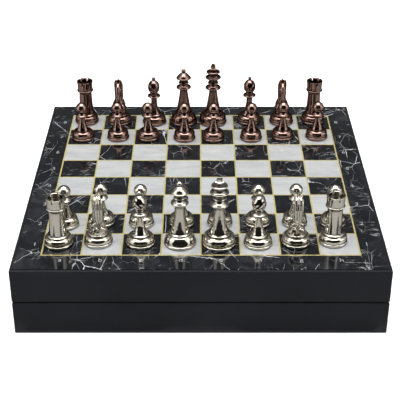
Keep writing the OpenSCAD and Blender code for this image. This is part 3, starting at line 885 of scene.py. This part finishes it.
WALLS = [f"{half}_{where}_wall" for half in ("base", "lid") for where in ("front", "back", "left", "right")]
PANELS = ["base_panel", "lid_panel"]
BODY_OF = {node: body for body, nodes in frame["record"]["behaviour"]["bodies"].items() for node in nodes}
WALL_EASE = 0.45 * MM                   # radius of the walls' long edges
FLAT_FOLD = math.radians(0.6)           # folds under this are joined to one face
SHARP_FOLD = math.radians(12)           # folds over this are edges
LONG_EDGE = 20 * MM
MITRE_SLACK = 0.02                      # how far a mitre's normal may be off the diagonal
MITRE_AREA = 1e-4                       # smallest area of a mitre face, in square metres


def is_mitre(face):
    """True for the slanting end faces, where two walls meet."""
    n = face.normal
    diagonal = abs(abs(n.x) - abs(n.y)) < MITRE_SLACK and abs(n.z) < MITRE_SLACK
    return diagonal and face.calc_area() > MITRE_AREA


def wall_edge(edge):
    """True for the long edges that a maker would ease: all but those at the mitres."""
    folded = edge.calc_length() > LONG_EDGE and edge.calc_face_angle(0) > SHARP_FOLD
    return folded and not any(is_mitre(f) for f in edge.link_faces)


def eased_copy(node):
    """A new mesh of a wall's or panel's shape with its long edges rounded."""
    bm = bmesh.new()
    bm.from_mesh(frame["nodes"][node].data)
    bmesh.ops.remove_doubles(bm, verts=bm.verts, dist=1e-6)
    bmesh.ops.dissolve_limit(bm, angle_limit=FLAT_FOLD, verts=bm.verts, edges=bm.edges)
    chosen = [e for e in bm.edges if len(e.link_faces) == 2 and wall_edge(e)]
    bmesh.ops.bevel(bm, geom=chosen, offset=WALL_EASE, segments=3, profile=0.5, affect="EDGES",
                    clamp_overlap=True)
    return to_mesh(bm, node + "_eased", 30)


for node in WALLS + PANELS:
    mesh = eased_copy(node)
    mesh.materials.clear()
    shown = add_object(node + "_lacquered", mesh, LACQUER)
    for poly in mesh.polygons:
        poly.material_index = 0
    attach(shown, BODY_OF[node])
    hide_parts(node)

# ---- the printed sheet

LINE_W = 1.5 * MM           # width of a gold line
EDGE_EASE = 0.25 * MM       # how far the sheet's rim is eased


def cuts_along():
    """Where the print changes along one axis: (place, kind of the strip that starts there)."""
    edge = SHEET_HIGH.x
    cuts = [(-edge, "border"), (-FIELD - LINE_W / 2, "line")]
    for k in range(8):
        cuts.append((-FIELD + k * SQUARE + LINE_W / 2, f"square{k}"))
        cuts.append((-FIELD + (k + 1) * SQUARE - LINE_W / 2, "line"))
    cuts.append((FIELD + LINE_W / 2, "border"))
    cuts.append((edge, "end"))
    return cuts


def print_kind(a, b):
    """Which print covers the cell of two strips: 0 black marble, 1 pale marble, 2 gold."""
    if "border" in (a, b):
        return 0
    if "line" in (a, b):
        return 2
    return (int(a[-1]) + int(b[-1])) % 2


def board_sheet():
    """Slab whose top is cut up along the printed lines, its rim slightly eased."""
    cuts = cuts_along()
    places = [c[0] for c in cuts]
    inner = places[:]
    inner[0] += EDGE_EASE
    inner[-1] -= EDGE_EASE
    bm = bmesh.new()
    top = [[bm.verts.new((x, y, SHEET_HIGH.z)) for x in inner] for y in inner]
    count = len(places)
    for j in range(count - 1):
        for i in range(count - 1):
            face = bm.faces.new((top[j][i], top[j][i + 1], top[j + 1][i + 1], top[j + 1][i]))
            face.material_index = print_kind(cuts[i][1], cuts[j][1])
    front, back = top[0], top[-1]
    rim_top = (front + [row[-1] for row in top[1:-1]] + back[::-1] + [row[0] for row in top[-2:0:-1]])
    edge = places[-1]
    last = rim_top
    for z in (SHEET_HIGH.z - EDGE_EASE, SHEET_LOW.z):
        ring = []
        for v in rim_top:
            x, y = (math.copysign(edge, c) if abs(c) > edge - 2 * EDGE_EASE else c for c in v.co.xy)
            ring.append(bm.verts.new((x, y, z)))
        bridge(bm, last, ring)
        last = ring
    bm.faces.new(list(reversed(last)))
    bmesh.ops.recalc_face_normals(bm, faces=bm.faces)
    return to_mesh(bm, "board_sheet", 30)


sheet = add_object("board_printed_sheet", board_sheet(), BLACK, PALE, GOLD)
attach(sheet, "lid")
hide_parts("board_print")

GLYPH_SIZE = 8.37 * MM      # type size of the coordinates
GLYPH_OUT = 8.5 * MM        # distance of their middles from the squares
GLYPH_T = 0.02 * MM         # thickness of the ink


def coordinates():
    """Small letters under the files and numbers beside the ranks, as one thin mesh."""
    marks = []
    for k in range(8):
        along = -FIELD + (k + 0.5) * SQUARE
        marks.append((FILES[k], along, -FIELD - GLYPH_OUT))
        for side in (-1, 1):
            marks.append((str(k + 1), side * (FIELD + GLYPH_OUT), along))
    bm = bmesh.new()
    for text, x, y in marks:
        curve = bpy.data.curves.new("mark", "FONT")
        curve.body, curve.size = text, GLYPH_SIZE
        curve.align_x, curve.align_y = "CENTER", "CENTER"
        curve.extrude = GLYPH_T / 2
        obj = add_object("mark", curve)
        bpy.context.view_layer.update()
        part = evaluated_copy(obj, "mark")
        part.transform(Matrix.Translation((x, y, BOARD_Z + GLYPH_T / 2)))
        bm.from_mesh(part)
        bpy.data.objects.remove(obj)
        bpy.data.meshes.remove(part)
    return to_mesh(bm, "coordinates", 30)


marks = add_object("board_coordinates", coordinates(), INK)
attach(marks, "lid")

# ---- foam

FOAM_PLAY = 0.3 * MM        # gap between the foam and the walls
INSERT_EASE = 0.9 * MM      # radius of the pockets' rims
INSERT_CORNER = 1.5 * MM
POCKET_CORNER = 4 * MM
PAD_LONG_EDGE = 0.1         # a pad's longer edges are cut up
SWELL = 0.8                 # share of a pad's sag that is filled again in its middle
RIPPLE = 0.25               # height of its ripple, as a share of the sag
RIPPLE_TURN = (70, 62)      # turn of the ripple along X and Y, in radians per metre


def rounded_loop(x0, x1, y0, y1, r, steps=6):
    """Points of a rectangle with round corners, anticlockwise."""
    corners = [(x1 - r, y0 + r, -90), (x1 - r, y1 - r, 0), (x0 + r, y1 - r, 90), (x0 + r, y0 + r, 180)]
    out = []
    for cx, cy, start in corners:
        for k in range(steps + 1):
            t = math.radians(start + 90 * k / steps)
            out.append((cx + r * math.cos(t), cy + r * math.sin(t)))
    return out


def foam_insert():
    """One block of foam with a pocket for each opening of the record, its edges softly rounded."""
    low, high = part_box("foam_rails")
    curve = bpy.data.curves.new("foam_plan", "CURVE")
    curve.dimensions, curve.fill_mode = "2D", "BOTH"
    loops = [rounded_loop(low.x + FOAM_PLAY, high.x - FOAM_PLAY, low.y + FOAM_PLAY, high.y - FOAM_PLAY,
                          INSERT_CORNER)]
    for opening in frame["record"]["physics"]["openings"]:
        if opening["name"].startswith(("pocket", "trough")):
            (x0, y0, _), (x1, y1, _) = opening["box_m"]
            loops.append(rounded_loop(x0, x1, y0, y1, POCKET_CORNER))
    for k, loop in enumerate(loops):
        spline = curve.splines.new("POLY")
        spline.points.add(len(loop) - 1)
        middle_x, middle_y = (sum(values) / len(loop) for values in zip(*loop))
        # The bevel adds its own width of foam at each outline, so the block starts smaller and
        # the pockets start wider
        outward = -INSERT_EASE if k == 0 else INSERT_EASE
        for point, (x, y) in zip(spline.points, loop):
            sign_x, sign_y = math.copysign(1, x - middle_x), math.copysign(1, y - middle_y)
            point.co = (x + outward * sign_x, y + outward * sign_y, 0, 1)
        spline.use_cyclic_u = True
    curve.extrude = (high.z - low.z) / 2 - INSERT_EASE
    curve.bevel_depth, curve.bevel_resolution = INSERT_EASE, 3
    obj = add_object("foam_plan", curve)
    bpy.context.view_layer.update()
    mesh = evaluated_copy(obj, "foam_insert")
    bpy.data.objects.remove(obj)
    mesh.transform(Matrix.Translation((0, 0, (low.z + high.z) / 2)))
    return refresh(mesh, 35, cavity=False)


def pad_mesh(node, ease, sag):
    """Foam slab with soft edges. Its free face, the lower one, is drawn in by the sag at the rim and
    swells towards the middle, with a slight ripple."""
    low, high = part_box(node)
    size = high - low
    bm = bmesh.new()
    bmesh.ops.create_cube(bm, size=1)
    for v in bm.verts:
        v.co = Vector((v.co.x * (size.x - 2 * FOAM_PLAY), v.co.y * (size.y - 2 * FOAM_PLAY), v.co.z * size.z))
    bmesh.ops.bevel(bm, geom=bm.edges[:], offset=ease, segments=4, profile=0.5, affect="EDGES")
    long_edges = [e for e in bm.edges if e.calc_length() > PAD_LONG_EDGE]
    bmesh.ops.subdivide_edges(bm, edges=long_edges, cuts=24, use_grid_fill=True)
    for v in bm.verts:
        if v.co.z < -size.z / 2 + ease * 0.2:
            wide = (1 - (2 * v.co.x / size.x) ** 2) * (1 - (2 * v.co.y / size.y) ** 2)
            ripple = RIPPLE * math.sin(v.co.x * RIPPLE_TURN[0]) * math.sin(v.co.y * RIPPLE_TURN[1])
            v.co.z += sag * (1 - SWELL * wide + ripple * wide)
        v.co += (low + high) / 2
    return to_mesh(bm, node + "_soft", 35)


insert = add_object("foam_insert_block", foam_insert(), FOAM)
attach(insert, "base")
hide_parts("foam_rails", "foam_dividers")

PADS = (("foam_sheet", "base", 0.8 * MM, 0.0), ("lid_foam_pad", "lid", 3 * MM, 0.8 * MM))
for node, body, ease, sag in PADS:
    pad = add_object(node + "_soft", pad_mesh(node, ease, sag), FOAM)
    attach(pad, body)
    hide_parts(node)

# ---- hinges keep their CAD shape

for name, obj in frame["nodes"].items():
    if "hinge" in name:
        obj.data.materials.clear()
        obj.data.materials.append(BRASS)

# ---- stage

bm = bmesh.new()
bmesh.ops.create_grid(bm, x_segments=2, y_segments=2, size=8.0)
# The floor is a light table: pale paper, faintly lit from below
PAPER = matte("studio_paper", scale=3, low=0.90, high=0.93, glow=0.34, gloss=0.1, rough=0.9)
floor = add_object("studio_floor", to_mesh(bm, "studio_floor"), PAPER)


def ring_sector(name, near, far, z_near, z_far, spread, material, facing=0.0, steps=48):
    """Band between two radii around the box, spread to both sides of a bearing (0 is the front).
    It is seen in the gloss only, and throws no shadow."""
    bm = bmesh.new()
    rows = []
    for k in range(steps + 1):
        turn = facing + spread * (2 * k / steps - 1)
        across, ahead = math.sin(turn), -math.cos(turn)
        rows.append([bm.verts.new((across * r, ahead * r, z)) for r, z in ((near, z_near), (far, z_far))])
    for (a, b), (c, d) in zip(rows, rows[1:]):
        bm.faces.new((a, c, d, b))
    made = add_object(name, to_mesh(bm, name), material)
    made.visible_camera = made.visible_diffuse = made.visible_shadow = False
    return made


CARD_Z = 2 * MM                              # height of the cards above the floor
CARD_NEAR, CARD_FAR = 0.26, 0.545            # inner and outer radius of the grey card
DARK_FAR = 1.9                               # outer radius of the dark cards, where the low curtains stand
LOW_CURTAIN_TOP = 0.36
CURTAIN_R, CURTAIN_TOP, CURTAIN_SPREAD = 1.88, 0.95, math.radians(50)
FRONT_CARD_NEAR, FRONT_CARD_Z, FRONT_CARD_SPREAD = 0.185, 3 * MM, 0.75
FRONT_SPREAD, BACK_SPREAD = math.radians(56), math.radians(68)
SIDE_BEARING, SIDE_SPREAD = math.radians(84), math.radians(28)

GREY_CARD, DARK_CARD = card_paint("grey_card", 0.34), card_paint("dark_card", 0.012)
SIDE_CARD = card_paint("side_card", 0.70)
ring_sector("studio_grey_card", CARD_NEAR, CARD_FAR, CARD_Z, CARD_Z, math.pi, GREY_CARD)
ring_sector("studio_front_card", FRONT_CARD_NEAR, CARD_FAR, FRONT_CARD_Z, FRONT_CARD_Z, FRONT_CARD_SPREAD,
            GREY_CARD)
for suffix, spread, facing in (("", FRONT_SPREAD, 0.0), ("_back", BACK_SPREAD, math.pi)):
    ring_sector("studio_dark_card" + suffix, CARD_FAR, DARK_FAR, CARD_Z, CARD_Z, spread, DARK_CARD, facing)
    ring_sector("studio_low_curtain" + suffix, DARK_FAR, DARK_FAR, CARD_Z, LOW_CURTAIN_TOP, spread, DARK_CARD,
                facing)
for number, side in enumerate((-1, 1)):
    ring_sector(f"studio_side_card_{number}", CARD_FAR, DARK_FAR, CARD_Z, CARD_Z, SIDE_SPREAD, SIDE_CARD,
                side * SIDE_BEARING)
ring_sector("studio_curtain", CURTAIN_R, CURTAIN_R, CARD_Z, CURTAIN_TOP, CURTAIN_SPREAD, DARK_CARD)

# A white wall far behind, seen by the camera only
WALL_R, WALL_FOOT, WALL_TOP = 7.0, -0.01, 6.0
WALL_PAINT = matte("studio_wall_paint", scale=1, low=0.97, high=1.0, glow=1.0)
wall = ring_sector("studio_wall", WALL_R, WALL_R, WALL_FOOT, WALL_TOP, math.pi, WALL_PAINT)
wall.visible_camera, wall.visible_glossy, wall.visible_transmission = True, False, False

# ---- light

# Brightness of the light tent's parts
BASE_LIGHT, SIDE_LIGHT, BACK_LIGHT, CEILING_LIGHT = 0.03, 1.6, 0.12, 0.5
OVERHEAD_LIGHT, OPENING_LIGHT, HORIZON_LIGHT = 5.2, 0.03, 1.0
# The dark oval opening in front: how far it is tipped up, in degrees, and its half width and height
OPENING_TILT, OPENING_WIDE, OPENING_TALL = 30, 0.56, 0.60
# Bearings over which the side boxes and the weaker wings behind them come and go
SIDE_IN, SIDE_OUT = (0.80, 0.95), (1.72, 1.56)
WING_IN, WING_OUT = (1.86, 1.98), (2.44, 2.30)
WING_FADE = (0.22, 0.42, 0.14, 1.1)     # heights, and the brightness at each
# Places over which the other parts come and go, on the unit sphere
BACK_IN, BACK_TOP = (0.20, 0.60), (0.86, 0.72)
CEILING_IN, OVERHEAD_OUT, HORIZON_OUT = (0.80, 0.88), (0.50, 0.36), (0.17, 0.10)


def studio_world():
    """White light tent: soft boxes overhead and at both sides, a dark opening in front, dim at the back.
    Directions are unit vectors, and bearings are radians from the front."""
    world = bpy.data.worlds.new("studio")
    bpy.context.scene.world = world
    n = Nodes(world)
    split = n.node("ShaderNodeSeparateXYZ")
    n.put(split.inputs[0], n.coords("Generated"))
    x, y, z = split.outputs
    off_centre = n.math("ABSOLUTE", x)
    bearing = n.math("ARCTAN2", off_centre, n.math("MULTIPLY", y, -1))
    # Soft boxes at both sides, and weaker wings behind them that fade towards the floor
    side = n.math("MULTIPLY", n.remap(bearing, *SIDE_IN), n.remap(bearing, *SIDE_OUT))
    wing = n.math("MULTIPLY", n.remap(bearing, *WING_IN), n.remap(bearing, *WING_OUT))
    light = n.math("MULTIPLY_ADD", side, SIDE_LIGHT, BASE_LIGHT)
    light = n.math("ADD", light, n.math("MULTIPLY", wing, n.remap(z, *WING_FADE)))
    # The dim back, the ceiling and the bright soft box in its middle
    back = n.math("MULTIPLY", n.remap(y, *BACK_IN), n.remap(z, *BACK_TOP))
    light = n.mix(back, light, BACK_LIGHT, "FLOAT")
    ceiling = n.remap(z, *CEILING_IN)
    light = n.mix(ceiling, light, CEILING_LIGHT, "FLOAT")
    overhead = n.math("MULTIPLY", ceiling, n.remap(off_centre, *OVERHEAD_OUT))
    light = n.mix(overhead, light, OVERHEAD_LIGHT, "FLOAT")
    # The opening, in axes tipped up with it
    rise, run = math.sin(math.radians(OPENING_TILT)), math.cos(math.radians(OPENING_TILT))
    ahead = n.math("ADD", n.math("MULTIPLY", y, -run), n.math("MULTIPLY", z, rise))
    above = n.math("ADD", n.math("MULTIPLY", y, rise), n.math("MULTIPLY", z, run))
    wide = n.math("POWER", n.math("DIVIDE", x, OPENING_WIDE), 2)
    tall = n.math("POWER", n.math("DIVIDE", above, OPENING_TALL), 2)
    opening = n.remap(n.math("ADD", wide, tall), 1.12, 0.88)
    opening = n.math("MULTIPLY", opening, n.remap(ahead, 0.0, 0.1))
    light = n.mix(opening, light, OPENING_LIGHT, "FLOAT")
    # A white band at the horizon, except in the opening
    horizon = n.math("MULTIPLY", n.remap(z, *HORIZON_OUT), n.math("SUBTRACT", 1, opening))
    light = n.mix(horizon, light, HORIZON_LIGHT, "FLOAT")
    background = n.tree.nodes["Background"]
    background.inputs["Color"].default_value = (1, 0.99, 0.965, 1)
    n.put(background.inputs["Strength"], light)


studio_world()

# ---- camera

# Place in widths of the box, from the middle of the board
CAMERA_ASIDE, CAMERA_AWAY, CAMERA_UP = -0.0021, -2.7329, 1.5274
CAMERA_PITCH = 59.54
LENS, SENSOR = 93.69, 36

camera = bpy.data.cameras.new("camera")
camera.lens, camera.sensor_width = LENS, SENSOR
camera.clip_start, camera.clip_end = 0.05, 50
camera_obj = add_object("camera", camera)
camera_obj.location = (CAMERA_ASIDE * BOX_W, CAMERA_AWAY * BOX_W, BOARD_Z + CAMERA_UP * BOX_W)
camera_obj.rotation_euler = (math.radians(CAMERA_PITCH), 0, 0)
bpy.context.scene.camera = camera_obj
bpy.context.scene.view_settings.view_transform = "Standard"
bpy.context.scene.view_settings.look = "None"
